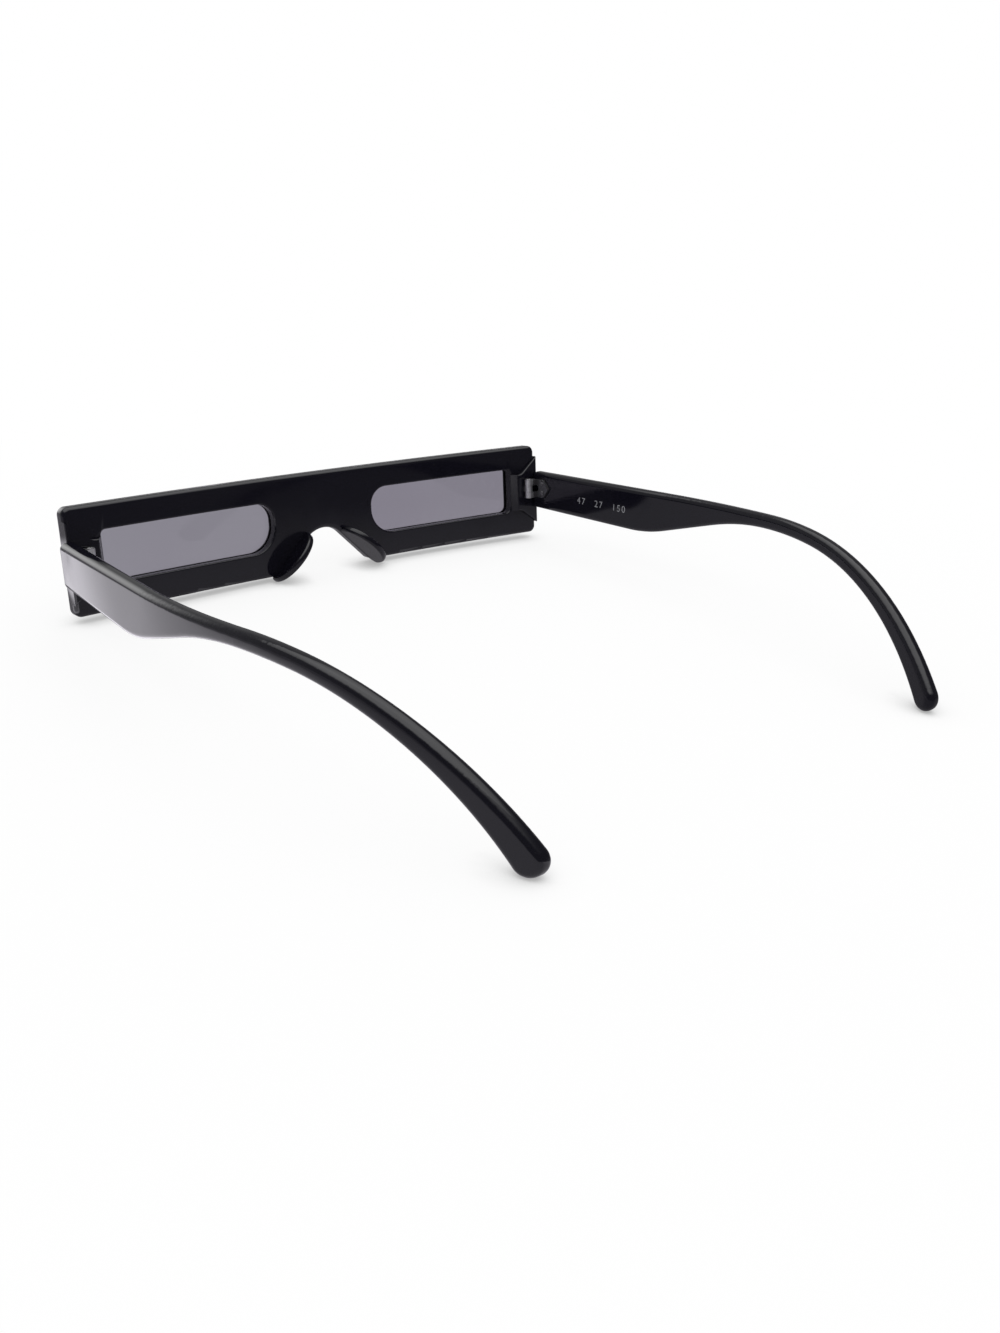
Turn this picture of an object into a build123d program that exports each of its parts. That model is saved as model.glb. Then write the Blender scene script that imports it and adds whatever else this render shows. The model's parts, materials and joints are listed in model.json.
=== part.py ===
from build123d import *
import os
from math import asin, cos, degrees, radians, sin, sqrt, tan

# The model is drawn upright: X to the wearer's left, Y to the rear, Z up.
# The back face of the front is at Y 0 in the middle and its bottom edge at Z 0.
# At the end everything is leaned forward onto the nose pads and the temple tips.

# Plate of the front
front_width = 136.0
front_height = 24.7
front_thickness = 4.0
front_bow = 4.2
front_corner_radius = 1.8
front_edge_radius = 1.1

# Openings for the lenses: from the middle, in from the ends, and up from the bottom edge
opening_nasal_x = 14.45
end_rim_width = 8.4
opening_low_z = 6.5
opening_high_z = 18.75
nasal_low_radius = 6.5
nasal_high_radius = 4.7
temporal_low_radius = 1.9
temporal_high_radius = 1.2
opening_edge_radius = 0.4

# Lenses and the groove that holds them
lens_thickness = 1.1
lens_setback = 2.1
groove_depth = 0.9
groove_clearance = 0.05

# Nose arch and its two sloping flanks
arch_height = 10.3
arch_radius = 7.2
flank_angle = 45.0
flank_foot_radius = 2.0

# Nose pads, moulded as fins on the flanks
pad_distance = 6.5
pad_half_length = 7.5
pad_reach = 7.0
pad_root = 2.4
pad_thickness = 1.7
pad_splay = 6.7
pad_edge_radius = 0.6

# End blocks that the temples butt against
butt_y = 5.0
block_width = 8.2
block_ramp = 1.1
block_low_z = 7.0
block_high_z = 17.2
block_sweep_width = 5.6
block_sweep_radius = 3.0
block_shoulder_high_z = 21.7
block_shoulder_low_z = 3.0
block_edge_radius = 0.5

# Temples, side view
temple_gap = 0.12
temple_high_z = 17.6
temple_low_z = 7.4
temple_slope = 2.65
straight_length = 81.6
belly_z = 4.3
belly_radius = 40.0
taper_angle = 12.0
waist_height = 3.4
waist_length = 9.5
waist_blend_share = 0.98
sweep_radius = 100.0
sweep_angle = 8.3
hook_radius = 68.4
hook_angle = 44.0
tip_height = 6.0
tip_corner_radius = 2.8

# Temples, seen from above: their front ends stand out past the ends of the front
temple_outset = 1.95
temple_thickness_front = 3.8
temple_thickness_rear = 3.3
temple_splay = 3.4
splay_length = 47.1
wrap_radius = 175.6
wrap_angle = 42.0
temple_edge_radius = 1.4
temple_end_edge_radius = 0.8

# Hinges: the axis is set back from the end block and in from the temple
axis_back = 1.3
axis_inset = 2.4
hinge_low_z = 10.6
knuckle_radius = 1.15
bottom_knuckle_height = 1.6
middle_knuckle_height = 1.7
top_knuckle_height = 1.5
knuckle_gap = 0.1
screw_radius = 0.6
screw_turning_clearance = 0.04
screw_seat_clearance = 0.01
screw_head_radius = 1.0
screw_head_height = 0.4
screw_head_edge_radius = 0.12

# Leaf on the temple
leaf_rear_y = 11.9
leaf_shoulder_y = 9.9
leaf_thickness = 1.1
leaf_sunk = 0.4
leaf_clearance = 0.03
leaf_slot_y = 8.3
rivet_y = 9.5
rivet_spacing = 2.5
rivet_radius = 0.4
rivet_depth = 1.5
rivet_head_radius = 0.62
rivet_head_height = 0.25
rivet_clearance = 0.01
head_round_share = 0.6

# Tongue of the leaf that is moulded into the end block
tongue_width = 1.5
tongue_depth = 3.0
anchor_width = 3.0
anchor_thickness = 0.8
tongue_clearance = 0.02


half_width = front_width / 2
bow_radius = (half_width**2 + front_bow**2) / (2 * front_bow)
opening_temporal_x = half_width - end_rim_width


def bent_slab(rear_depth, front_depth):
    """Upright slab bent like the front, between two depths ahead of the back face."""
    ring = Circle(bow_radius + front_depth) - Circle(bow_radius + rear_depth)
    window = Pos(0, -bow_radius) * Rectangle(2 * front_width, 2 * front_width)
    slab = extrude(ring & window, amount=2 * front_height, both=True)
    return Pos(0, bow_radius, 0) * slab


def upright(face, front_y, rear_y):
    """Solid from an outline drawn in X and Z, between two values of Y."""
    return extrude(Plane.XZ.offset(-rear_y) * face, amount=rear_y - front_y)


def other_side(shape):
    return mirror(shape, about=Plane.YZ)


# Lens opening

def opening_outline(grow):
    """Outline of the left opening, moved outward all round by grow."""
    inner = opening_nasal_x - grow
    outer = opening_temporal_x + grow
    low = opening_low_z - grow
    high = opening_high_z + grow
    face = make_face(Polyline((inner, low), (outer, low), (outer, high), (inner, high), close=True))
    corners = (
        (inner, low, nasal_low_radius),
        (inner, high, nasal_high_radius),
        (outer, low, temporal_low_radius),
        (outer, high, temporal_high_radius),
    )
    for x, z, radius in corners:
        corner = face.vertices().sort_by_distance((x, z, 0))[0]
        face = fillet(corner, radius + grow)
    return face


# Nose arch: a circle that runs tangent into the two flanks

arch_centre_z = arch_height - arch_radius
flank_top_x = arch_radius * sin(radians(flank_angle))
flank_top_z = arch_centre_z + arch_radius * cos(radians(flank_angle))
flank_foot_x = flank_top_x + flank_top_z / tan(radians(flank_angle))
flank_over_x = flank_foot_x + flank_top_z / tan(radians(flank_angle))
arch = Pos(0, arch_centre_z) * Circle(arch_radius)
arch += make_face(
    Polyline(
        (flank_top_x, flank_top_z),
        (flank_over_x, -flank_top_z),
        (-flank_over_x, -flank_top_z),
        (-flank_top_x, flank_top_z),
        close=True,
    )
)

outline = Pos(0, front_height / 2) * RectangleRounded(front_width, front_height, front_corner_radius)
outline -= arch
feet = [
    outline.vertices().sort_by_distance((side * flank_foot_x, 0, 0))[0]
    for side in (1, -1)
]
outline = fillet(feet, flank_foot_radius)
outline -= opening_outline(0)
outline -= other_side(opening_outline(0))

plate = upright(outline, -front_width, front_width) & bent_slab(0, front_thickness)
broad_faces = plate.faces().sort_by(SortBy.AREA)[-2:]
outer_edges = [edge for face in broad_faces for edge in face.outer_wire().edges()]
plate = plate.fillet(front_edge_radius, outer_edges)
broad_faces = plate.faces().sort_by(SortBy.AREA)[-2:]
rim_edges = [edge for face in broad_faces for wire in face.inner_wires() for edge in wire.edges()]
plate = plate.fillet(opening_edge_radius, rim_edges)

# End block: its upper and lower outlines sweep out to the corners of the front

block_inner_x = half_width - block_width
block_foot_y = bow_radius - sqrt(bow_radius**2 - block_inner_x**2)
block_front_y = block_foot_y - front_thickness / 2
block_outline = make_face(
    Polyline(
        (block_inner_x, block_low_z),
        (half_width - block_sweep_width, block_low_z),
        (half_width, block_shoulder_low_z),
        (half_width, block_shoulder_high_z),
        (half_width - block_sweep_width, block_high_z),
        (block_inner_x, block_high_z),
        close=True,
    )
)
for bend_z in (block_low_z, block_high_z):
    bend = block_outline.vertices().sort_by_distance((half_width - block_sweep_width, bend_z, 0))[0]
    block_outline = fillet(bend, block_sweep_radius)
block_plan = make_face(
    Polyline(
        (block_inner_x, block_front_y),
        (half_width, block_front_y),
        (half_width, butt_y),
        (block_inner_x + block_ramp, butt_y),
        (block_inner_x, block_foot_y),
        close=True,
    )
)
block = upright(block_outline, block_front_y, butt_y)
block &= extrude(block_plan, amount=front_height)
block = block.fillet(block_edge_radius, block.faces().sort_by(Axis.Y)[-1].edges())

# Nose pad: half an oval that stands back from the flank and leans outward

down = Vector(cos(radians(flank_angle)), 0, -sin(radians(flank_angle)))
into_rim = Vector(sin(radians(flank_angle)), 0, cos(radians(flank_angle)))
back = into_rim * sin(radians(pad_splay)) + Vector(0, cos(radians(pad_splay)), 0)
pad_centre = (
    Vector(flank_top_x, 0, flank_top_z)
    + down * pad_distance
    + into_rim * (pad_root * sin(radians(pad_splay)))
)
pad_plane = Plane(origin=pad_centre, x_dir=down, z_dir=down.cross(back))
half_turn = 180.0
pad_outline = make_face(
    EllipticalCenterArc((0, 0), pad_half_length, pad_reach, start_angle=0, arc_size=half_turn)
    + EllipticalCenterArc((0, 0), pad_half_length, pad_root, start_angle=half_turn, arc_size=half_turn)
)
pad = extrude(pad_plane * pad_outline, amount=pad_thickness)
pad = pad.fillet(pad_edge_radius, pad.edges())

# Front leaf: middle knuckle and the tongue that the plastic is moulded round

axis_x = half_width + temple_outset - temple_thickness_front - axis_inset
axis_y = butt_y + axis_back
middle_low_z = hinge_low_z + bottom_knuckle_height + knuckle_gap
middle_high_z = middle_low_z + middle_knuckle_height
top_low_z = middle_high_z + knuckle_gap
top_high_z = top_low_z + top_knuckle_height


def standing(face, low_z, high_z):
    """Solid from an outline drawn in X and Y, between two heights."""
    return extrude(Pos(0, 0, low_z) * face, amount=high_z - low_z)


def tongue_outline(grow):
    """Plan of the tongue with its anchor, moved outward by grow."""
    rear_y = axis_y
    front_y = butt_y - tongue_depth
    tongue = Pos(axis_x, (rear_y + front_y) / 2) * Rectangle(tongue_width + 2 * grow, rear_y - front_y)
    anchor_y = front_y + anchor_thickness / 2
    anchor = Rectangle(anchor_width + 2 * grow, anchor_thickness + 2 * grow)
    return tongue + Pos(axis_x, anchor_y) * anchor


def at_axis(radius):
    return Pos(axis_x, axis_y) * Circle(radius)


front_leaf = standing(tongue_outline(0) + at_axis(knuckle_radius), middle_low_z, middle_high_z)
front_leaf -= standing(at_axis(screw_radius + screw_turning_clearance), middle_low_z, middle_high_z)
leaf_pocket = standing(
    tongue_outline(tongue_clearance),
    middle_low_z - tongue_clearance,
    middle_high_z + tongue_clearance,
)

# Lens: its own outline, bent with the front, and the groove one clearance larger

lens_outline = opening_outline(groove_depth - groove_clearance)
lens_slab = bent_slab(lens_setback, lens_setback + lens_thickness)
lens = upright(lens_outline, -front_width, front_width) & lens_slab
groove_slab = bent_slab(
    lens_setback - groove_clearance,
    lens_setback + lens_thickness + groove_clearance,
)
groove = upright(opening_outline(groove_depth), -front_width, front_width) & groove_slab

front = plate + block + other_side(block) + pad + other_side(pad)
front -= groove
front -= other_side(groove)
front -= leaf_pocket
front -= other_side(leaf_pocket)

# Temple, side view: a deep paddle that narrows to a bar, which sweeps down behind the ear

temple_front_y = butt_y + temple_gap
temple_outer_x = half_width + temple_outset
top_line = PolarLine((temple_front_y, temple_high_z), straight_length, -temple_slope)
top_sweep = JernArc(top_line @ 1, top_line % 1, sweep_radius, -sweep_angle)
top_hook = JernArc(top_sweep @ 1, top_sweep % 1, hook_radius, -hook_angle)
under = Vector(-sin(radians(temple_slope)), -cos(radians(temple_slope))) * waist_height
waist = top_line @ 1 + under
low_sweep = JernArc(waist, top_line % 1, sweep_radius - waist_height, -sweep_angle)
tip_turn = radians(temple_slope + sweep_angle + hook_angle)
tip_bottom = top_hook @ 1 + Vector(-sin(tip_turn), -cos(tip_turn)) * tip_height
low_hook = TangentArc(low_sweep @ 1, tip_bottom, tangent=low_sweep % 1)

# The taper ends on the underside of the bar, before the sweep, and runs forward and down to the belly
taper_end = waist - (top_line % 1) * waist_length
belly_y = taper_end.X - (taper_end.Y - belly_z) / tan(radians(taper_angle))
side_curves = (
    top_line
    + top_sweep
    + top_hook
    + Line(top_hook @ 1, low_hook @ 1)
    + low_hook
    + low_sweep
    + Polyline(
        waist,
        taper_end,
        (belly_y, belly_z),
        (temple_front_y, temple_low_z),
        (temple_front_y, temple_high_z),
    )
)
side_face = make_face(side_curves)
belly_corner = side_face.vertices().sort_by_distance((belly_y, belly_z, 0))[0]
side_face = fillet(belly_corner, belly_radius)
waist_radius_limit = waist_length / tan(radians((taper_angle + temple_slope) / 2))
waist_corner = side_face.vertices().sort_by_distance((taper_end.X, taper_end.Y, 0))[0]
side_face = fillet(waist_corner, waist_radius_limit * waist_blend_share)
tip_corners = [
    side_face.vertices().sort_by_distance(((end @ 1).X, (end @ 1).Y, 0))[0]
    for end in (top_hook, low_hook)
]
side_face = fillet(tip_corners, tip_corner_radius)

# Temple, seen from above: splayed to clear the head, then wrapped in behind it

outer_line = PolarLine((temple_outer_x, temple_front_y), splay_length, 90 - temple_splay)
outer_wrap = JernArc(outer_line @ 1, outer_line % 1, wrap_radius, wrap_angle)
inward = Vector(-cos(radians(temple_splay)), sin(radians(temple_splay))) * temple_thickness_rear
inner_turn = outer_line @ 1 + inward
inner_wrap = JernArc(inner_turn, outer_line % 1, wrap_radius - temple_thickness_rear, wrap_angle)
inner_front = Vector(temple_outer_x - temple_thickness_front, temple_front_y)
plan_face = make_face(
    outer_line
    + outer_wrap
    + Line(outer_wrap @ 1, inner_wrap @ 1)
    + inner_wrap
    + Line(inner_turn, inner_front)
    + Line(inner_front, outer_line @ 0)
)
temple = extrude(Plane.YZ * side_face, amount=front_width)
temple &= extrude(plan_face, amount=front_width, both=True)
front_end = temple.faces().sort_by(Axis.Y)[0]
end_edges = front_end.edges()
long_edges = [edge for edge in temple.edges() if edge not in end_edges]
temple = temple.fillet(temple_edge_radius, long_edges)
front_end = temple.faces().sort_by(Axis.Y)[0]
temple = temple.fillet(temple_end_edge_radius, front_end.edges())

# Temple leaf: a house-shaped plate on the inner face, with two knuckles and a slot between

inner_angle = degrees(asin((inner_turn - inner_front).X / (inner_turn - inner_front).length))
leaf_plane = Plane(
    origin=(inner_front.X, inner_front.Y, 0),
    x_dir=(sin(radians(inner_angle)), cos(radians(inner_angle)), 0),
    z_dir=(cos(radians(inner_angle)), -sin(radians(inner_angle)), 0),
)


def along(y):
    """Run along the inner face of the temple from its front end to a given Y."""
    return (y - temple_front_y) / cos(radians(inner_angle))


leaf_middle_z = (hinge_low_z + top_high_z) / 2


def leaf_outline(grow):
    """Plate seen from the side, moved outward by grow."""
    front_run = along(axis_y - knuckle_radius) - grow
    low = hinge_low_z - grow
    high = top_high_z + grow
    return make_face(
        Polyline(
            (front_run, low),
            (along(leaf_shoulder_y) + grow, low),
            (along(leaf_rear_y) + grow, leaf_middle_z),
            (along(leaf_shoulder_y) + grow, high),
            (front_run, high),
            close=True,
        )
    )


proud = leaf_thickness - leaf_sunk
leaf_body = extrude(leaf_plane.offset(-proud) * leaf_outline(0), amount=leaf_thickness)
lug_x = (axis_x + inner_front.X) / 2
lug = Pos(lug_x, axis_y) * Rectangle(inner_front.X - axis_x, 2 * knuckle_radius)
knuckle_plan = at_axis(knuckle_radius) + lug
leaf_body += standing(knuckle_plan, hinge_low_z, top_high_z)
slot_front_y = temple_front_y - knuckle_radius
slot_low_z = middle_low_z - knuckle_gap
slot_high_z = middle_high_z + knuckle_gap
slot_rear_radius = (slot_high_z - slot_low_z) / 2
slot_box = Pos(axis_x, (slot_front_y + leaf_slot_y - slot_rear_radius) / 2) * Rectangle(
    2 * (half_width - axis_x), leaf_slot_y - slot_rear_radius - slot_front_y
)
slot = standing(slot_box, slot_low_z, slot_high_z)
slot_end = Plane.YZ * Pos(leaf_slot_y - slot_rear_radius, (slot_low_z + slot_high_z) / 2)
slot += extrude(slot_end * Circle(slot_rear_radius), amount=front_width)
leaf_body -= slot
leaf_body -= standing(at_axis(screw_radius + screw_seat_clearance), hinge_low_z, top_high_z)
temple_pocket = extrude(leaf_plane * leaf_outline(leaf_clearance), amount=leaf_sunk + leaf_clearance)
temple -= temple_pocket


def rivet_spot(depth):
    """Places of the two rivets at a depth below the temple's inner face."""
    face_plane = leaf_plane.offset(depth)
    return [
        face_plane * Pos(along(rivet_y), leaf_middle_z + side * rivet_spacing / 2)
        for side in (1, -1)
    ]


rivet_holes = [
    extrude(spot * Circle(rivet_radius + rivet_clearance), amount=proud + rivet_depth + rivet_clearance)
    for spot in rivet_spot(-proud)
]
rivet_shanks = [
    extrude(spot * Circle(rivet_radius), amount=proud + rivet_depth) for spot in rivet_spot(-proud)
]
rivet_heads = [
    extrude(spot * Circle(rivet_head_radius), amount=rivet_head_height)
    for spot in rivet_spot(-proud - rivet_head_height)
]
rivets = []
for shank, head in zip(rivet_shanks, rivet_heads):
    head = head.fillet(rivet_head_height * head_round_share, [head.edges().sort_by(Axis.X)[0]])
    rivets.append(shank + head)
for hole in rivet_holes:
    leaf_body -= hole
    temple -= hole

# Hinge screw: the pin both leaves turn on, with its head on the top knuckle

screw = standing(at_axis(screw_radius), hinge_low_z, top_high_z)
screw_head = standing(at_axis(screw_head_radius), top_high_z, top_high_z + screw_head_height)
screw_head = screw_head.fillet(screw_head_edge_radius, [screw_head.edges().sort_by(Axis.Z)[-1]])
screw += screw_head

# Rest pose: lean forward until the pads and the temple tips touch the same plane


def lowest(shape, lean):
    return shape.rotate(Axis.X, lean).bounding_box().min.Z


low_lean = 0.0
high_lean = 25.0
for step in range(24):
    lean = (low_lean + high_lean) / 2
    if lowest(temple, lean) < lowest(front, lean):
        low_lean = lean
    else:
        high_lean = lean

leaned = [shape.rotate(Axis.X, lean).bounding_box() for shape in (front, temple)]
floor_z = min(box.min.Z for box in leaned)
centre_y = (min(box.min.Y for box in leaned) + max(box.max.Y for box in leaned)) / 2


def rested(shape):
    return Pos(0, -centre_y, -floor_z) * shape.rotate(Axis.X, lean)


left_nodes = {
    "lens": lens,
    "temple": temple,
    "hinge_front_leaf": front_leaf,
    "hinge_temple_leaf": leaf_body,
    "hinge_screw": screw,
}
os.makedirs("parts", exist_ok=True)
export_step(rested(front), "parts/front_frame.step")
for name, shape in left_nodes.items():
    export_step(rested(shape), "parts/" + name + "_left.step")
    export_step(rested(other_side(shape)), "parts/" + name + "_right.step")
export_step(Compound(children=[rested(rivet) for rivet in rivets]), "parts/leaf_rivets_left.step")
right_rivets = [rested(other_side(rivet)) for rivet in rivets]
export_step(Compound(children=right_rivets), "parts/leaf_rivets_right.step")
print("lean", round(lean, 4), "floor", round(floor_z, 4), "centre y", round(centre_y, 4))
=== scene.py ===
import json
from math import degrees, pi, radians

import bmesh
import bpy
from mathutils import Matrix, Vector


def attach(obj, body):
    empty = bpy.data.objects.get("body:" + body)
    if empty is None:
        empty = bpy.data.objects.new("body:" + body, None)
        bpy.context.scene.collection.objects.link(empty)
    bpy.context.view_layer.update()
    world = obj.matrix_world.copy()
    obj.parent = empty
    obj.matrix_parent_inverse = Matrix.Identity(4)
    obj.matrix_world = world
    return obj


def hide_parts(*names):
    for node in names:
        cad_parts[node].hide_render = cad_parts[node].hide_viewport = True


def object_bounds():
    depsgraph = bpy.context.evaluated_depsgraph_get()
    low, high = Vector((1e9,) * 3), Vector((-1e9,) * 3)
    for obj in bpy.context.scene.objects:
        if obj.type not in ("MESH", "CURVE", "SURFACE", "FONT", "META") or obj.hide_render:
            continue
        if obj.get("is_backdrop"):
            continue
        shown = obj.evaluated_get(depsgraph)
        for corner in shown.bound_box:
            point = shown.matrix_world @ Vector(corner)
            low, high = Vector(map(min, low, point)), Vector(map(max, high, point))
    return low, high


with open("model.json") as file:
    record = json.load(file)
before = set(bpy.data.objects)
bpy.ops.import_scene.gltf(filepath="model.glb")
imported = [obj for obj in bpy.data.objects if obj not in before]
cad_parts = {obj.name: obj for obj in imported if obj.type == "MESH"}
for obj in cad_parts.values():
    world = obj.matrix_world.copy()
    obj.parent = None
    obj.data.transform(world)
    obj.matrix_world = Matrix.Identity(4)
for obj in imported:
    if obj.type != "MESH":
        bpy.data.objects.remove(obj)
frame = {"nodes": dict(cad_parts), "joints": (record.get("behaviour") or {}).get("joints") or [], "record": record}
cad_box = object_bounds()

# %% [markdown]
# # Narrow rectangle sunglasses
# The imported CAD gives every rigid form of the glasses. This script dresses those forms: it cleans their
# meshes, adds the small details that are looks rather than form (screw slots, printed numbers), gives each
# piece its material, and sets the light and the camera like the reference photo's.
#
# The real object is a budget moulded pair. The front and the temples are one black thermoplastic, shot
# into polished steel moulds, so every face comes out as bright as the mould. The lenses are sheets of
# tinted plastic snapped into a groove. Each hinge is stamped and plated steel on a small screw.

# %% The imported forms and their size
MILLIMETRE = 0.001
CAD = frame["nodes"]
box_low, box_high = cad_box


def in_mm(lengths, digits=2):
    """Lengths in metres as rounded millimetres, for printing."""
    return [round(length / MILLIMETRE, digits) for length in lengths]


print("object size, mm:", in_mm([high - low for low, high in zip(box_low, box_high)], 1))

# %% [markdown]
# ## Clean copies of the CAD forms
# A imported node is a loose soup of triangles, which takes no smooth shading. A copy with its corners merged
# does. Weighted normals then keep each flat face flat up to its rounded edge, and give the edge rounding
# the whole turn, which is what moulded plastic and stamped metal do under a reflection.
#
# The other way is to model every form again here. It would drift from the CAD and gain nothing.

# %% Helpers that make an object and keep what its modifiers show
def new_object(name, content):
    """Object that holds a mesh, a lamp or a camera, linked into the scene."""
    thing = bpy.data.objects.new(name, content)
    bpy.context.scene.collection.objects.link(thing)
    return thing


def keep_result(piece):
    """Makes what the modifiers show the piece's own plain mesh, and removes them."""
    bpy.context.view_layer.update()
    depsgraph = bpy.context.evaluated_depsgraph_get()
    piece.data = bpy.data.meshes.new_from_object(piece.evaluated_get(depsgraph))
    piece.modifiers.clear()


print("packed forms to dress:", len(CAD))

# %% A merged and smoothly shaded copy of each form
MERGE_DISTANCE = 2e-6
SHARP_ANGLE = radians(38)
FLAT_FACE_WEIGHT = 60


def clean_copy(node, name, body):
    """Merged and smoothly shaded copy of a CAD node, standing in for it on its body."""
    mesh = CAD[node].data.copy()
    mesh.name = name
    piece = new_object(name, mesh)
    form = bmesh.new()
    form.from_mesh(mesh)
    bmesh.ops.remove_doubles(form, verts=form.verts, dist=MERGE_DISTANCE)
    for face in form.faces:
        face.smooth = True
    for edge in form.edges:
        edge.smooth = edge.calc_face_angle(pi) < SHARP_ANGLE
    form.to_mesh(mesh)
    form.free()
    if mesh.attributes.get("custom_normal"):
        mesh.attributes.remove(mesh.attributes["custom_normal"])
    weighted = piece.modifiers.new("flat faces keep their normals", "WEIGHTED_NORMAL")
    weighted.mode = "FACE_AREA"
    weighted.weight = FLAT_FACE_WEIGHT
    weighted.keep_sharp = True
    keep_result(piece)
    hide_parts(node)
    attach(piece, body)
    return piece


bodies = frame["record"]["behaviour"]["bodies"]
body_of = {node: body for body, nodes in bodies.items() for node in nodes}
pieces = {node: clean_copy(node, node + "_form", body_of[node]) for node in CAD}
for node, piece in pieces.items():
    print(node, "rides on", body_of[node], "with", len(piece.data.polygons), "triangles")

# %% [markdown]
# ## Where the hinges are
# Both hinges lean with the front, because the glasses rest on the moulded nose fins and the temple tips.
# The joint axes in the record give that lean, so anything placed on a hinge or a temple can be laid out
# upright first and then leaned with one rotation.

# %% Hinge places and the lean
joints = {joint["name"].split("_")[0]: joint for joint in frame["joints"]}
hinge = {side: Vector(joint["pos_m"]) for side, joint in joints.items()}
axis = Vector(joints["left"]["axis"]).normalized()
lean = Vector((0, axis.z, -axis.y)).angle(Vector((0, 1, 0)))
leaned = Matrix.Rotation(lean, 4, "X")


def from_hinge(side, offset, turned=Matrix.Identity(4)):
    """Matrix that carries a drawing to a point given from a hinge in the upright frame, in metres."""
    return Matrix.Translation(hinge[side]) @ leaned @ Matrix.Translation(offset) @ turned


print("lean, degrees:", round(degrees(lean), 2), "left hinge, mm:", in_mm(hinge["left"]))

# %% [markdown]
# ## Node trees, built in the script
# The screws and the line of print each follow a rule, so a Geometry Nodes tree draws them, with its sizes as
# named inputs. A tree could be clicked together in the node editor, but in the script it can be read from
# top to bottom and changed in one place. The helpers start a group, and add a node whose inputs are set to
# plain values or linked to other nodes. The materials further down are built with the same helpers.

# %% Helpers that build a tree
def new_group(kind, name, inputs, outputs):
    """Group with float inputs preset by a dict and outputs typed by a dict; gives it and its two ends."""
    group = bpy.data.node_groups.new(name, kind)
    for label, value in inputs.items():
        socket = group.interface.new_socket(label, in_out="INPUT", socket_type="NodeSocketFloat")
        socket.default_value = value
    for label, socket_type in outputs.items():
        group.interface.new_socket(label, in_out="OUTPUT", socket_type=socket_type)
    return group, group.nodes.new("NodeGroupInput"), group.nodes.new("NodeGroupOutput")


def wire(tree, node, inputs):
    """Links each named input of a node to a socket, or sets it to a plain value; gives the node."""
    for label, value in inputs.items():
        if isinstance(value, bpy.types.NodeSocket):
            tree.links.new(value, node.inputs[label])
        else:
            node.inputs[label].default_value = value
    return node


def new_node(tree, kind, inputs, operation=None):
    """New node of a kind, with its operation and its inputs."""
    node = tree.nodes.new(kind)
    if operation:
        node.operation = operation
    return wire(tree, node, inputs)


def math_node(tree, operation, first, second=0):
    """Math node on two sockets or numbers; gives its output socket."""
    return new_node(tree, "ShaderNodeMath", {0: first, 1: second}, operation).outputs[0]


def combine(tree, x=0, y=0, z=0):
    """Vector made of three sockets or numbers; gives its socket."""
    return new_node(tree, "ShaderNodeCombineXYZ", {"X": x, "Y": y, "Z": z}).outputs["Vector"]


print("helpers for trees:", [helper.__name__ for helper in (new_group, wire, new_node, math_node, combine)])

# %% [markdown]
# ## Hinge screws
# The real screw is a steel pin with a low cheese head and one driver slot, turned on the hinge's top knuckle
# until the leaves just grip. The CAD keeps it plain, because the slot is finer than anything it measures.
# A geometry tree, drawn in millimetres, joins the pin, the side of the head and a shallow crown, and cuts the
# slot out of them. Modelling the cut, not painting it, keeps the slot dark from every side. Forms this small
# need the exact boolean solver, and no two of them share a face: the pin runs on into the head, and the
# crown is a little narrower than the side it stands on.

# %% The screw's sizes and heights, in millimetres
SCREW_SIZES = {
    "Shank radius": 0.6,
    "Shank length": 5.0,
    "Head radius": 1.0,
    "Head height": 0.4,
    "Crown share": 0.35,
    "Crown width share": 0.94,
    "Slot width": 0.3,
    "Slot depth": 0.24,
}
GEOMETRY_OUT = {"Geometry": "NodeSocketGeometry"}

screw_tree, screw_in, screw_out = new_group(
    "GeometryNodeTree", "slotted screw", SCREW_SIZES, GEOMETRY_OUT
)
screw_size = screw_in.outputs


def screw_math(operation, first, second):
    """Sum, difference or product of two of the screw's lengths; gives its socket."""
    return math_node(screw_tree, operation, first, second)


half_length = screw_math("MULTIPLY", screw_size["Shank length"], 0.5)
crown_height = screw_math("MULTIPLY", screw_size["Head height"], screw_size["Crown share"])
side_height = screw_math("SUBTRACT", screw_size["Head height"], crown_height)
half_side = screw_math("MULTIPLY", side_height, 0.5)
side_top = screw_math("ADD", half_length, side_height)
head_top = screw_math("ADD", side_top, crown_height)
print("screw, mm long with its head:", SCREW_SIZES["Shank length"] + SCREW_SIZES["Head height"])

# %% Pin, side of the head and crown
ROUND_SIDES = 64
CROWN_RINGS = 32


def raised(mesh, height, scale=(1, 1, 1)):
    """Form of the screw, stretched and then lifted to a height; gives its geometry socket."""
    inputs = {"Geometry": mesh, "Translation": combine(screw_tree, z=height), "Scale": scale}
    return new_node(screw_tree, "GeometryNodeTransform", inputs).outputs["Geometry"]


def round_bar(radius, depth, middle):
    """Round bar of the screw whose middle stands at a height; gives its geometry socket."""
    inputs = {"Vertices": ROUND_SIDES, "Radius": radius, "Depth": depth}
    return raised(new_node(screw_tree, "GeometryNodeMeshCylinder", inputs).outputs["Mesh"], middle)


pin = round_bar(
    screw_size["Shank radius"],
    screw_math("ADD", screw_size["Shank length"], half_side),
    screw_math("MULTIPLY", half_side, 0.5),
)
head_side = round_bar(screw_size["Head radius"], side_height, screw_math("SUBTRACT", side_top, half_side))

ball = new_node(
    screw_tree, "GeometryNodeMeshUVSphere", {"Segments": ROUND_SIDES, "Rings": CROWN_RINGS, "Radius": 1}
)
crown_radius = screw_math("MULTIPLY", screw_size["Head radius"], screw_size["Crown width share"])
crown_scale = combine(screw_tree, crown_radius, crown_radius, crown_height)
crown = raised(ball.outputs["Mesh"], side_top, crown_scale)
print("screw forms before the cut, nodes:", len(screw_tree.nodes))

# %% The driver slot, cut out of all three
CUTTER_LENGTH = 4.0


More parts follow.
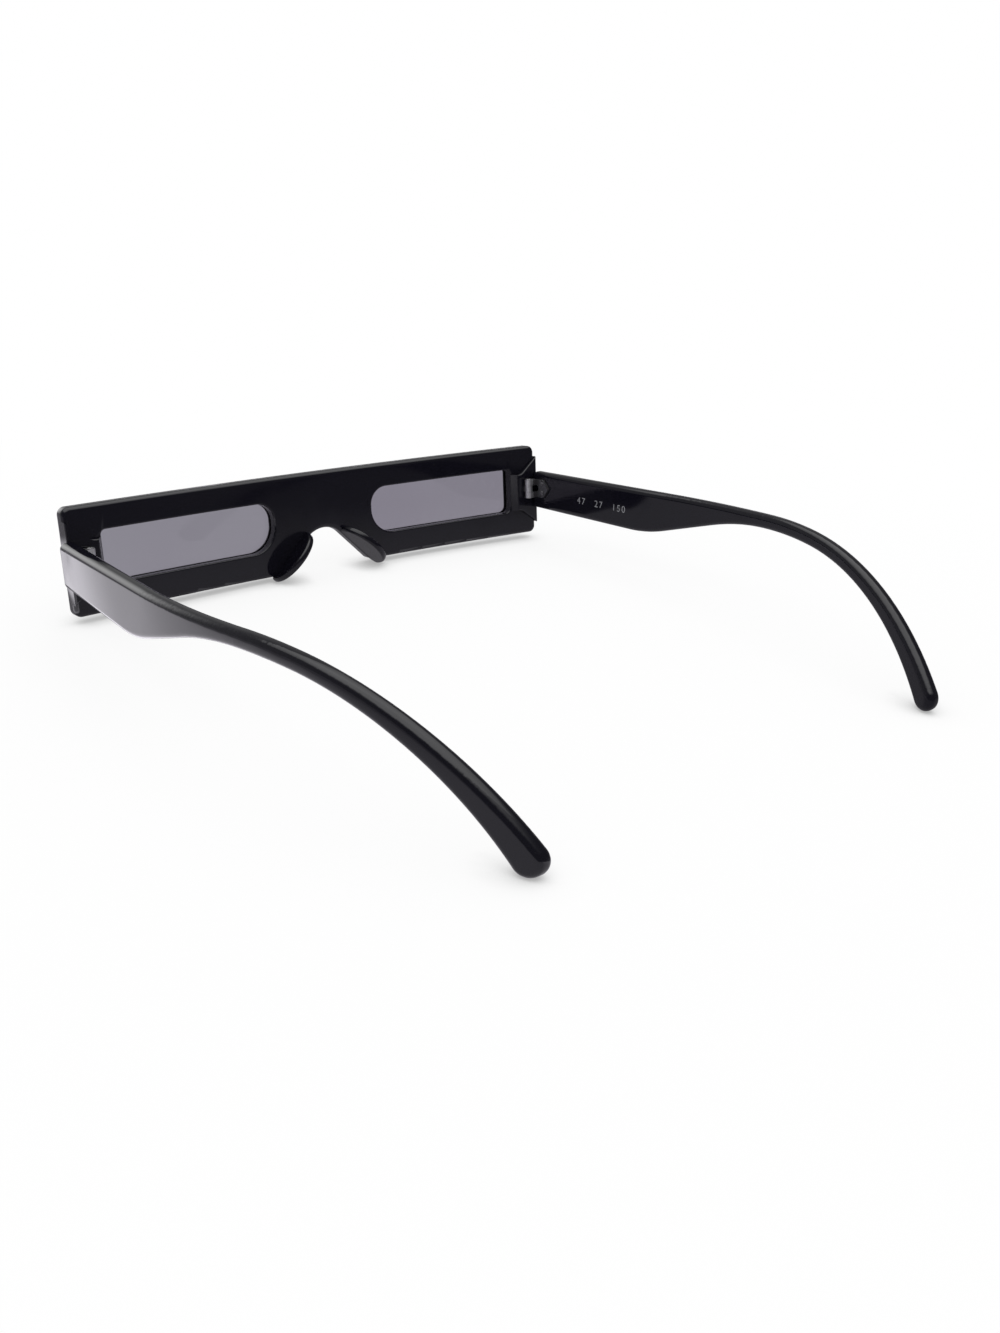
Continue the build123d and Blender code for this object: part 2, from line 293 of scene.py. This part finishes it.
def end_tree(tree, geometry, tree_out):
    """Ends a tree in real geometry with one material slot, which is filled when the piece is dressed."""
    real = new_node(tree, "GeometryNodeRealizeInstances", {"Geometry": geometry})
    finished = new_node(tree, "GeometryNodeSetMaterial", {"Geometry": real.outputs["Geometry"]})
    wire(tree, tree_out, {"Geometry": finished.outputs["Geometry"]})


# The cutter's middle stands at the top of the head, so it is twice as high as the slot is deep.
cutter_size = combine(
    screw_tree,
    screw_math("MULTIPLY", screw_size["Head radius"], CUTTER_LENGTH),
    screw_size["Slot width"],
    screw_math("MULTIPLY", screw_size["Slot depth"], 2),
)
block = new_node(screw_tree, "GeometryNodeMeshCube", {"Size": cutter_size})
cutter = raised(block.outputs["Mesh"], head_top)
joined = new_node(screw_tree, "GeometryNodeMeshBoolean", {}, "UNION")
joined.solver = "EXACT"
for solid in (pin, head_side, crown):
    screw_tree.links.new(solid, joined.inputs["Mesh 2"])
slotted = new_node(
    screw_tree, "GeometryNodeMeshBoolean", {"Mesh 1": joined.outputs["Mesh"], "Mesh 2": cutter}, "DIFFERENCE"
)
slotted.solver = "EXACT"
end_tree(screw_tree, slotted.outputs["Mesh"], screw_out)
print("whole screw tree, nodes:", len(screw_tree.nodes))

# %% [markdown]
# ## Running a tree
# A tree runs as a modifier on an empty mesh. Its inputs are filled in by their identifiers before the object
# is first evaluated, and the result is then kept as a plain mesh, because the export takes meshes, not
# modifiers. The place goes into the mesh, so each object stays at the origin, as the CAD's own do.

# %% Screws on both hinges
SLOT_TURNS = {"left": radians(24), "right": radians(-41)}
SCREW_SHARP_ANGLE = radians(35)


def mesh_from_tree(tree, name, values, place):
    """Runs a tree once with these input values and gives a placed, plain mesh object."""
    piece = new_object(name, bpy.data.meshes.new(name))
    modifier = piece.modifiers.new(tree.name, "NODES")
    modifier.node_group = tree
    for item in tree.interface.items_tree:
        if item.in_out == "INPUT":
            modifier[item.identifier] = values[item.name]
    keep_result(piece)
    piece.data.transform(place)
    return piece


def hinge_screw(side):
    """The side's slotted screw, its slot turned a little off square as a driver leaves it."""
    drawn = Matrix.Rotation(SLOT_TURNS[side], 4, "Z") @ Matrix.Scale(MILLIMETRE, 4)
    mesh = mesh_from_tree(screw_tree, "slotted_screw_" + side, SCREW_SIZES, drawn)
    mesh.data.transform(from_hinge(side, Vector((0, 0, 0))))
    for polygon in mesh.data.polygons:
        polygon.use_smooth = True
    mesh.data.set_sharp_from_angle(angle=SCREW_SHARP_ANGLE)
    plain = pieces.pop("hinge_screw_" + side)
    bpy.data.objects.remove(plain)
    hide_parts("hinge_screw_" + side)
    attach(mesh, body_of["hinge_screw_" + side])
    return mesh


screws = {side: hinge_screw(side) for side in hinge}
print("slotted screws, faces each:", [len(screw.data.polygons) for screw in screws.values()])

# %% [markdown]
# ## Printed numbers
# Moulded sunglasses carry a line of small pale print on the inside of one temple. Here it is only the
# generic eyewear sizes in millimetres: lens width, bridge width, temple length. A String to Curves node lays
# the line out, Fill Curve gives it faces and Subdivide Mesh more corners. Each corner is then dropped onto
# the temple along the face's own direction, so the ink lies on the plastic, a few hundredths of a millimetre
# proud. An image of the numbers would be quicker, but the export keeps shapes, and these stay sharp.

# %% The line of print as a tree
PRINT_SIZES = {"Digit size": 0.0026, "Digit gap": 1.3, "Word gap": 3.6}
PRINT_LINE = "47 27 150"

print_tree, print_in, print_out = new_group(
    "GeometryNodeTree", "size numbers", PRINT_SIZES, GEOMETRY_OUT
)
line_inputs = {
    "String": PRINT_LINE,
    "Size": print_in.outputs["Digit size"],
    "Character Spacing": print_in.outputs["Digit gap"],
    "Word Spacing": print_in.outputs["Word gap"],
}
letters = new_node(print_tree, "GeometryNodeStringToCurves", line_inputs)
filled = new_node(print_tree, "GeometryNodeFillCurve", {"Curve": letters.outputs["Curve Instances"]})
finer = new_node(print_tree, "GeometryNodeSubdivideMesh", {"Mesh": filled.outputs["Mesh"]})
end_tree(print_tree, finer.outputs["Mesh"], print_out)
print("print tree, nodes:", len(print_tree.nodes))

# %% The numbers laid on the temple
PRINT_START = Vector((-0.0036, 0.0161, -0.0029))
PRINT_FALL = radians(3.3)
FACE_TURN = radians(4.0)
DROP_FROM = 0.004
INK_HEIGHT = 3e-5

upright = Matrix.Rotation(pi / 2, 4, "Z") @ Matrix.Rotation(pi / 2, 4, "X")
reading = Matrix.Rotation(FACE_TURN, 4, "Z") @ upright @ Matrix.Rotation(-PRINT_FALL, 4, "Z")
on_temple = from_hinge("right", PRINT_START, reading)
numbers = mesh_from_tree(print_tree, "size_numbers", PRINT_SIZES, on_temple)
outward = leaned @ Matrix.Rotation(FACE_TURN, 4, "Z") @ Vector((1, 0, 0))
temple = pieces["temple_right"]
missed = 0
for vertex in numbers.data.vertices:
    hit, spot = temple.ray_cast(vertex.co + outward * DROP_FROM, -outward)[:2]
    if hit:
        vertex.co = spot + outward * INK_HEIGHT
    missed += not hit
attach(numbers, body_of["temple_right"])
print("size numbers:", len(numbers.data.vertices), "corners,", missed, "off the temple")

# %% [markdown]
# ## Surface effects shared by several finishes
# Two small node groups hold what more than one material shows. "Handling marks" is what fingers and a
# cloth leave on anything polished: broad smears that dull the gloss, and hair-fine scratches. "Mould skin" is
# the faint waviness that cooling plastic and rolled metal keep, seen only as a bend in a reflection. Both
# read Object coordinates in metres, so their scale is a true one on every piece.

# %% Helpers for patterns
def object_point(tree, stretch=(1, 1, 1), turn=(0, 0, 0)):
    """Object coordinates in metres, stretched and turned by degrees; gives their vector socket."""
    coordinates = new_node(tree, "ShaderNodeTexCoord", {})
    turned = [radians(angle) for angle in turn]
    inputs = {"Vector": coordinates.outputs["Object"], "Scale": stretch, "Rotation": turned}
    return new_node(tree, "ShaderNodeMapping", inputs).outputs["Vector"]


def noise(tree, scale, detail, stretch=(1, 1, 1), turn=(0, 0, 0)):
    """Noise on Object coordinates; gives its value socket."""
    inputs = {"Scale": scale, "Detail": detail, "Vector": object_point(tree, stretch, turn)}
    return new_node(tree, "ShaderNodeTexNoise", inputs).outputs["Fac"]


def remap(tree, value, span, low=0, high=1):
    """Takes a value smoothly from low at the span's start to high at its end; gives its socket."""
    start, end = span
    inputs = {"Value": value, "From Min": start, "From Max": end, "To Min": low, "To Max": high}
    node = new_node(tree, "ShaderNodeMapRange", inputs)
    node.interpolation_type = "SMOOTHSTEP"
    return node.outputs["Result"]


print("helpers for patterns:", [helper.__name__ for helper in (object_point, noise, remap)])

# %% Handling marks
MARK_AMOUNTS = {"Smears": 1.0, "Scratches": 1.0}
SMEAR_SPAN = (0.42, 0.72)
HAIRLINE_SPAN = (0.74, 0.8)
# Two crossing sets of scratches, each a noise with its own stretch and its turn in degrees.
HAIRLINES = (((90, 5200, 5200), (12, 20, 35)), ((5200, 110, 5200), (-25, 15, 8)))

marks, marks_in, marks_out = new_group(
    "ShaderNodeTree",
    "Handling marks",
    MARK_AMOUNTS,
    {"Dullness": "NodeSocketFloat", "Scratch": "NodeSocketFloat"},
)
smear = remap(marks, noise(marks, scale=55, detail=3), SMEAR_SPAN)
hairlines = [
    remap(marks, noise(marks, scale=1, detail=1, stretch=stretch, turn=turn), HAIRLINE_SPAN)
    for stretch, turn in HAIRLINES
]
crossed = math_node(marks, "MAXIMUM", *hairlines)
wire(marks, marks_out, {
    "Dullness": math_node(marks, "MULTIPLY", smear, marks_in.outputs["Smears"]),
    "Scratch": math_node(marks, "MULTIPLY", crossed, marks_in.outputs["Scratches"]),
})
print("shared effect:", marks.name, "nodes:", len(marks.nodes))

# %% Mould skin
SKIN_SIZES = {"Ripple size": 400.0, "Grain size": 4000.0}
GRAIN_SHARE = 0.15

skin, skin_in, skin_out = new_group(
    "ShaderNodeTree", "Mould skin", SKIN_SIZES, {"Height": "NodeSocketFloat"}
)
ripple = noise(skin, skin_in.outputs["Ripple size"], detail=1)
grain = noise(skin, skin_in.outputs["Grain size"], detail=2)
height = math_node(skin, "ADD", ripple, math_node(skin, "MULTIPLY", grain, GRAIN_SHARE))
wire(skin, skin_out, {"Height": height})
print("shared effect:", skin.name, "nodes:", len(skin.nodes))

# %% [markdown]
# ## A starting point for each material
# Every finish begins as a Principled BSDF whose plain constants are set on its own sockets, because the
# export drops a constant that comes through a node. The first helper also wires in the mould skin, as a bump
# of 2 micrometres or less. The second adds the handling marks, in the amount that the finish shows.

# %% Helpers for finishes
def finish(name, constants, ripple_height):
    """Material with these constants and the mould skin; gives it, its tree and its shader."""
    material = bpy.data.materials.new(name)
    material.use_nodes = True
    tree = material.node_tree
    shader = next(node for node in tree.nodes if node.type == "BSDF_PRINCIPLED")
    moulded = tree.nodes.new("ShaderNodeGroup")
    moulded.node_tree = skin
    bump = new_node(tree, "ShaderNodeBump", {"Height": moulded.outputs["Height"], "Strength": 1.0})
    wire(tree, bump, {"Distance": ripple_height})
    wire(tree, shader, {**constants, "Normal": bump.outputs["Normal"]})
    print("finish:", name, constants)
    return material, tree, shader


def handled(tree, smears, scratches=0.0):
    """Handling marks in these amounts; gives their sockets, named Dullness and Scratch."""
    node = tree.nodes.new("ShaderNodeGroup")
    node.node_tree = marks
    return wire(tree, node, {"Smears": smears, "Scratches": scratches}).outputs


def blend_colour(tree, mask, clean, marked):
    """Colour that goes from one to another with a mask; gives its colour socket."""
    mix = tree.nodes.new("ShaderNodeMix")
    mix.data_type = "RGBA"
    wire(tree, mix, {"Factor": mask, "A": (*clean, 1), "B": (*marked, 1)})
    return mix.outputs["Result"]


print("helpers for finishes:", [helper.__name__ for helper in (finish, handled, blend_colour)])

# %% [markdown]
# ## Glossy black plastic
# The front and temples are unpainted black plastic, as bright as the steel mould they came out of. True
# black would look like a hole, so the colour is a very dark blue-black. Nearly all that is seen is
# reflection, which is why the roughness, not the colour, carries the finger marks. Only a scratch also pales
# the colour a little.

# %% Black plastic
PLASTIC = {"Metallic": 0.0, "IOR": 1.5, "Specular IOR Level": 0.5}
PLASTIC_RIPPLE = 1.6e-6
BLACK, BLACK_SCRATCHED = (0.0045, 0.0042, 0.0076), (0.016, 0.016, 0.019)
PLASTIC_CLEAN, PLASTIC_MARKED = 0.07, 0.3

black_plastic, tree, shader = finish("black_plastic", PLASTIC, PLASTIC_RIPPLE)
marked = handled(tree, smears=1.0, scratches=1.0)
both_marks = math_node(tree, "ADD", marked["Dullness"], marked["Scratch"])
wire(tree, shader, {
    "Base Color": blend_colour(tree, marked["Scratch"], BLACK, BLACK_SCRATCHED),
    "Roughness": remap(tree, both_marks, (0, 2), PLASTIC_CLEAN, PLASTIC_MARKED),
})

# %% [markdown]
# ## Tinted lens
# The lens is a sheet of grey plastic with a violet cast, dyed right through. It could be a half clear film,
# but then it would neither mirror nor bend light as a sheet does, so it is a solid that transmits. The shader
# shares the tint between the two faces that light crosses, so the colour here is what white paper looks like
# through the lens. A slow drift in the dye and a trace of smears keep it from looking computed.

# %% Lens
LENS = {"Metallic": 0.0, "IOR": 1.49, "Transmission Weight": 1.0}
LENS_RIPPLE = 0.4e-6
DYE_STRONG, DYE_WEAK = (0.235, 0.22, 0.265), (0.26, 0.25, 0.29)
LENS_CLEAN, LENS_SMEARED = 0.015, 0.05

tinted_lens, tree, shader = finish("tinted_lens", LENS, LENS_RIPPLE)
dye = remap(tree, noise(tree, scale=18, detail=1), (0.35, 0.65))
smeared = handled(tree, smears=0.6)["Dullness"]
wire(tree, shader, {
    "Base Color": blend_colour(tree, dye, DYE_STRONG, DYE_WEAK),
    "Roughness": remap(tree, smeared, (0, 1), LENS_CLEAN, LENS_SMEARED),
})

# %% [markdown]
# ## Hinge metal
# The hinge leaves are stamped steel with a dark plating. The plating stays where nothing touches it and is
# rubbed through to bright metal on the knuckles, which turn against each other each time a temple folds. The
# wear follows the distance from the hinge axis, so it's worked out from the axis, not painted on. One tree
# serves both hinges, because each point is first folded over to the left side.

# %% How far each point is from its hinge axis
METAL = {"Metallic": 1.0}
METAL_RIPPLE = 2e-6

hinge_metal, tree, shader = finish("hinge_metal", METAL, METAL_RIPPLE)


def vector_node(tree, operation, first, second=(0, 0, 0)):
    """Vector Math node; gives its vector socket, or its number where the operation gives one."""
    node = new_node(tree, "ShaderNodeVectorMath", {0: first, 1: second}, operation)
    return node.outputs["Value" if operation in ("LENGTH", "DISTANCE") else "Vector"]


def split(tree, vector):
    """The X, Y and Z sockets of a vector."""
    return list(new_node(tree, "ShaderNodeSeparateXYZ", {"Vector": vector}).outputs)


across, along, up = split(tree, object_point(tree))
on_left = combine(tree, math_node(tree, "ABSOLUTE", across), along, up)
from_axis = vector_node(tree, "SUBTRACT", on_left, hinge["left"])
distance = vector_node(tree, "LENGTH", vector_node(tree, "CROSS_PRODUCT", from_axis, axis))

# %% Worn knuckles and dark plating
KNUCKLE_RADIUS = 0.00115
WORN_SHARE, PATCH_SHARE = 0.8, 0.7
PLATED, BRIGHT = (0.2, 0.2, 0.21), (0.82, 0.82, 0.84)
PLATED_ROUGHNESS, BRIGHT_ROUGHNESS = 0.42, 0.36

patchy = noise(tree, scale=2600, detail=3)
reach = math_node(tree, "MULTIPLY", patchy, KNUCKLE_RADIUS * PATCH_SHARE)
worn_to = math_node(tree, "ADD", reach, KNUCKLE_RADIUS * WORN_SHARE)
worn = math_node(tree, "LESS_THAN", distance, worn_to)
wire(tree, shader, {
    "Base Color": blend_colour(tree, worn, PLATED, BRIGHT),
    "Roughness": remap(tree, worn, (0, 1), PLATED_ROUGHNESS, BRIGHT_ROUGHNESS),
})
print("wear always reaches, mm from the axis:", in_mm([KNUCKLE_RADIUS * WORN_SHARE]))

# %% [markdown]
# ## Screw steel
# The screws are turned from plain steel, so they are the brightest metal here after the worn knuckles. Fine
# turning marks run round a screw, so the noise is stretched flat, and two near greys break up the brightness.

# %% Screws
STEEL, STEEL_MARKED = (0.62, 0.62, 0.63), (0.5, 0.5, 0.51)
STEEL_CLEAN, STEEL_SMEARED = 0.24, 0.4

screw_steel, tree, shader = finish("screw_steel", METAL, METAL_RIPPLE)
turned_mark = remap(tree, noise(tree, scale=9000, detail=2, stretch=(0.15, 0.15, 1)), (0.4, 0.6))
smeared = handled(tree, smears=0.5)["Dullness"]
wire(tree, shader, {
    "Base Color": blend_colour(tree, turned_mark, STEEL, STEEL_MARKED),
    "Roughness": remap(tree, smeared, (0, 1), STEEL_CLEAN, STEEL_SMEARED),
})

# %% [markdown]
# ## Rivet steel
# The rivets that hold the leaves are plated as darkly as the leaves, and the plating is rubbed lighter in
# small patches. They keep the screws' slot in the record, because they are the same steel below.

# %% Rivets
RIVET, RIVET_RUBBED = (0.17, 0.17, 0.18), (0.3, 0.3, 0.31)
RIVET_CLEAN, RIVET_SMEARED = 0.4, 0.5

rivet_steel, tree, shader = finish("rivet_steel", METAL, METAL_RIPPLE)
rubbed_patch = remap(tree, noise(tree, scale=3200, detail=2), (0.45, 0.6))
smeared = handled(tree, smears=0.8)["Dullness"]
wire(tree, shader, {
    "Base Color": blend_colour(tree, rubbed_patch, RIVET, RIVET_RUBBED),
    "Roughness": remap(tree, smeared, (0, 1), RIVET_CLEAN, RIVET_SMEARED),
})

# %% [markdown]
# ## Printed ink
# Pad-printed ink is pale, matt and thin. Skin rubs it first where it stands highest, so it is broken up by a
# fine noise that lets some of the black through.

# %% Ink
INK = {"Metallic": 0.0, "IOR": 1.45}
INK_RIPPLE = 1e-6
INK_PALE, INK_RUBBED = (0.26, 0.26, 0.28), (0.07, 0.07, 0.08)
INK_CLEAN, INK_SMEARED = 0.45, 0.6

printed_ink, tree, shader = finish("printed_ink", INK, INK_RIPPLE)
rubbed = remap(tree, noise(tree, scale=5200, detail=3), (0.5, 0.62))
smeared = handled(tree, smears=1.0)["Dullness"]
wire(tree, shader, {
    "Base Color": blend_colour(tree, rubbed, INK_PALE, INK_RUBBED),
    "Roughness": remap(tree, smeared, (0, 1), INK_CLEAN, INK_SMEARED),
})

# %% [markdown]
# ## Giving each piece its finish
# The record already says which material slot each node takes, and every clean copy follows that list. The
# rivets and the printed numbers then get their own finish.

# %% Finishes and slots
finishes = {
    "black_plastic": black_plastic,
    "tinted_lens": tinted_lens,
    "hinge_metal": hinge_metal,
    "screw_steel": screw_steel,
}
slot_of = {part["node"]: part["material_slot"] for part in frame["record"]["subparts"]}


def dress(piece, material):
    """One material on the whole piece."""
    piece.data.materials.clear()
    piece.data.materials.append(material)


for node, piece in pieces.items():
    dress(piece, finishes[slot_of[node]])
for side, screw in screws.items():
    dress(screw, screw_steel)
    dress(pieces["leaf_rivets_" + side], rivet_steel)
dress(numbers, printed_ink)
print("nodes in each slot:", {slot: list(slot_of.values()).count(slot) for slot in finishes})

# %% [markdown]
# ## Floor
# The glasses lie on a seamless white sheet, which the camera sees as almost plain white. Near the glasses
# an ordinary matt surface shows through the white, so their soft shadows fall on it. It fades out further
# away, which hides the sheet's far edge. Right where plastic comes close to the paper, an ambient
# occlusion node dims the white as well, because a short contact shade is what seats an object on its floor.

# %% The sheet
FLOOR_HALF_WIDTH = 3.0
FLOOR_SQUARES = 8

floor_mesh = bpy.data.meshes.new("studio_floor")
sheet = bmesh.new()
bmesh.ops.create_grid(sheet, x_segments=FLOOR_SQUARES, y_segments=FLOOR_SQUARES, size=FLOOR_HALF_WIDTH)
sheet.to_mesh(floor_mesh)
sheet.free()
floor = new_object("studio_floor", floor_mesh)
floor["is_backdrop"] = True
print("sheet, metres wide:", 2 * FLOOR_HALF_WIDTH)

# %% Matt paper, and white that dims at a contact
PALE = (0.9, 0.9, 0.9, 1)
WHITE = (1, 1, 1, 1)
CONTACT_REACH = 0.007
CONTACT_SAMPLES = 8
CONTACT_SHADE = 0.46
CONTACT_SPAN = (0.2, 0.95)

paper = bpy.data.materials.new("white_sheet")
paper.use_nodes = True
tree = paper.node_tree
tree.nodes.clear()
matt = new_node(tree, "ShaderNodeBsdfDiffuse", {"Color": PALE})
contact = new_node(tree, "ShaderNodeAmbientOcclusion", {"Distance": CONTACT_REACH})
contact.samples = CONTACT_SAMPLES
shade = remap(tree, contact.outputs["AO"], CONTACT_SPAN, CONTACT_SHADE, 1)
white = new_node(tree, "ShaderNodeEmission", {"Color": WHITE, "Strength": shade})
print("contact shade reaches, mm:", in_mm([CONTACT_REACH]))

# %% [markdown]
# ## What the gloss mirrors in the sheet
# Black plastic shows mostly what it mirrors. In the photo the near temple's outer face is pale at the hinge
# and darkens towards the bar, while the back of the front is nearly black. So the gloss sees bright paper
# outside that temple and far ahead of the front, as if a lamp lit it, and dim paper between the temples.
# Glossy rays alone see this pattern. It is laid out along the temple, by coordinates turned to it.

# %% Distances along and across the temple
TEMPLE_TURN = -11.3


def product(tree, first, second):
    """Product of two sockets; gives its socket."""
    return math_node(tree, "MULTIPLY", first, second)


# Aside and behind are counted in the temple's own directions, to the rear in the glasses' own.
aside, behind = split(tree, object_point(tree, turn=(0, 0, TEMPLE_TURN)))[:2]
to_rear = split(tree, object_point(tree))[1]
print("pattern on the sheet, degrees round:", TEMPLE_TURN)

# %% Lit and dim paper
COOL_WHITE = (0.96, 0.93, 1, 1)
MIRROR_DIM, MIRROR_FAR = 0.38, 0.1
LIT_OUTSIDE, LIT_EDGE, LIT_BEYOND = 1.0, 1.3, 1.5
STRIP_STARTS = (0.0561, 0.0571)
STRIP_ENDS = (0.09, 0.15)
STRIP_EDGE = (0.056, 0.068)
STRIP_FADES = (-0.05, 0.05)
STRIP_AT_REAR = 0.35
BEYOND_STARTS = (-0.15, -0.138)
BEYOND_ENDS = (0.058, 0.061)
SHEET_FADES = (-0.06, 0.2)

outside = product(tree, remap(tree, aside, STRIP_STARTS), remap(tree, behind, BEYOND_STARTS))
outside = product(tree, outside, remap(tree, to_rear, STRIP_FADES, 1, STRIP_AT_REAR))
glow = remap(tree, aside, STRIP_ENDS, LIT_OUTSIDE, 0)
edge_glow = remap(tree, aside, STRIP_EDGE, LIT_EDGE, 0)
strip = product(tree, outside, math_node(tree, "ADD", glow, edge_glow))
beyond = product(
    tree, remap(tree, aside, BEYOND_ENDS, LIT_BEYOND, 0), remap(tree, behind, BEYOND_STARTS, 1, 0)
)
between = remap(tree, to_rear, SHEET_FADES, MIRROR_DIM, MIRROR_FAR)
mirrored = math_node(tree, "ADD", between, math_node(tree, "ADD", beyond, strip))
mirrored_sheet = new_node(tree, "ShaderNodeEmission", {"Color": COOL_WHITE, "Strength": mirrored})
print("lit strip starts, mm from the middle line:", in_mm(STRIP_STARTS))

# %% [markdown]
# ## Which ray sees which sheet
# The camera, directly or through a lens, sees white with a part of the matt surface near the glasses, and
# plain white further away. In Cycles a ray that passes through glass counts as glossy too, so "mirrored" is
# glossy less transmitted. Light that bounces off the sheet meets the matt surface alone.

# %% The sheet's material
SHADOW_LIFT = 0.84
WHITE_SPAN = (0.1, 0.26)


def ray_masks(tree):
    """Mask of what is seen, directly or through glass, and the sockets for each kind of ray."""
    rays = new_node(tree, "ShaderNodeLightPath", {}).outputs
    seen = math_node(tree, "MAXIMUM", rays["Is Camera Ray"], rays["Is Transmission Ray"])
    return seen, rays


def mix_shaders(tree, mask, otherwise, chosen):
    """One shader where a mask is 0 and another where it is 1; gives its shader socket."""
    inputs = {"Fac": mask, 1: otherwise, 2: chosen}
    return new_node(tree, "ShaderNodeMixShader", inputs).outputs["Shader"]


seen, rays = ray_masks(tree)
from_middle = vector_node(tree, "LENGTH", object_point(tree))
whiteness = product(tree, seen, remap(tree, from_middle, WHITE_SPAN, SHADOW_LIFT, 1))
plain_sheet = mix_shaders(tree, whiteness, matt.outputs["BSDF"], white.outputs["Emission"])
mirror_ray = math_node(tree, "SUBTRACT", rays["Is Glossy Ray"], rays["Is Transmission Ray"])
by_ray = mix_shaders(tree, mirror_ray, plain_sheet, mirrored_sheet.outputs["Emission"])
new_node(tree, "ShaderNodeOutputMaterial", {"Surface": by_ray})
floor_mesh.materials.append(paper)
print("plain white from, mm:", in_mm(WHITE_SPAN)[1])

# %% [markdown]
# ## Light
# One soft box, 1.4 m wide and 0.9 m up, gives the shadows their shape: small soft ones under the nose fins
# and the temple tips, as in the photo. The world fills the rest evenly. Its background is plain white to the
# camera and through the lenses. The gloss sees a dim room instead, a little brighter ahead of the glasses,
# with a low bright window there and a pale ceiling, because an even white room would turn black plastic grey.

# %% The room that the gloss mirrors
MIRROR_ROOM, MIRROR_AHEAD = 0.08, 0.28
AHEAD_SPAN = (-0.9, 0.2)
MIRROR_WINDOW, MIRROR_CEILING = 1.9, 1.2
WINDOW_DIRECTION = (0.12, -0.98, 0.16)
WINDOW_SPREAD = 0.45
CEILING_SPAN = (0.6, 0.95)

world = bpy.data.worlds.new("studio")
bpy.context.scene.world = world
world.use_nodes = True
tree = world.node_tree
tree.nodes.clear()
direction = new_node(tree, "ShaderNodeTexCoord", {}).outputs["Generated"]
to_rear, upward = split(tree, direction)[1:]
from_window = vector_node(tree, "DISTANCE", direction, WINDOW_DIRECTION)
window = remap(tree, from_window, (0, WINDOW_SPREAD), MIRROR_WINDOW, 0)
ceiling = remap(tree, upward, CEILING_SPAN, 0, MIRROR_CEILING)
room = remap(tree, to_rear, AHEAD_SPAN, MIRROR_AHEAD, MIRROR_ROOM)
mirrored_room = math_node(tree, "ADD", math_node(tree, "ADD", window, ceiling), room)
print("window, strength:", MIRROR_WINDOW, "ceiling:", MIRROR_CEILING, "room:", MIRROR_ROOM)

# %% The world
WORLD_FILL = 0.84


def choose(tree, mask, otherwise, chosen):
    """A number that is one value where a mask is 0 and another where it is 1; gives its socket."""
    inputs = {"Factor": mask, "A": otherwise, "B": chosen}
    return new_node(tree, "ShaderNodeMix", inputs).outputs["Result"]


seen, rays = ray_masks(tree)
unseen = choose(tree, rays["Is Glossy Ray"], WORLD_FILL, mirrored_room)
strength = choose(tree, seen, unseen, 1.0)
backdrop = new_node(tree, "ShaderNodeBackground", {"Color": WHITE, "Strength": strength})
new_node(tree, "ShaderNodeOutputWorld", {"Surface": backdrop.outputs["Background"]})
print("world fill:", WORLD_FILL)

# %% The soft box
BOX_PLACE = Vector((0, -0.1, 0.9))
BOX_WIDTH = 1.4
BOX_WATTS = 3.6

soft_box = bpy.data.lights.new("overhead soft box", "AREA")
soft_box.size = BOX_WIDTH
soft_box.energy = BOX_WATTS
lamp = new_object("overhead soft box", soft_box)
lamp.location = BOX_PLACE
lamp.rotation_euler = (-BOX_PLACE).to_track_quat("-Z", "Y").to_euler()
print("soft box, watts:", round(soft_box.energy, 2))

# %% [markdown]
# ## Camera
# The photo's camera was recovered by fitting one pinhole camera and the glasses' own sizes to edges measured
# in the photo. It looks from behind the wearer's left temple, 22 degrees down. Azimuth is counted from
# looking straight to the rear, and the small roll is the tilt that the photo was taken with.

# %% The photo's camera
PHOTO_HEIGHT = 1333
FOCAL_PIXELS = 1195.8
SENSOR_SIZE = 36
NEAREST_SEEN = 0.005
CAMERA_PLACE = Vector((0.15803, 0.18552, 0.09686))
AZIMUTH, ELEVATION, ROLL = radians(139.344), radians(22.289), radians(2.623)

camera_data = bpy.data.cameras.new("photo camera")
camera_data.sensor_width = SENSOR_SIZE
camera_data.lens = FOCAL_PIXELS * SENSOR_SIZE / PHOTO_HEIGHT
camera_data.clip_start = NEAREST_SEEN
camera = new_object("photo camera", camera_data)
level = Matrix.Rotation(AZIMUTH, 4, "Z") @ Matrix.Rotation(pi / 2 - ELEVATION, 4, "X")
camera.matrix_world = Matrix.Translation(CAMERA_PLACE) @ level @ Matrix.Rotation(ROLL, 4, "Z")
bpy.context.scene.camera = camera
bpy.context.scene.view_settings.view_transform = "Standard"
print("lens, mm:", round(camera_data.lens, 2))

# %% [markdown]
# The dressed glasses are held against the CAD: both boxes are taken, and the largest difference between
# their corners is printed.

# %% Both boxes
visual_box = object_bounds()
differences = [
    abs(cad - visual)
    for cad_corner, visual_corner in zip(cad_box, visual_box)
    for cad, visual in zip(cad_corner, visual_corner)
]
print("largest difference, mm:", in_mm([max(differences)], 4)[0])
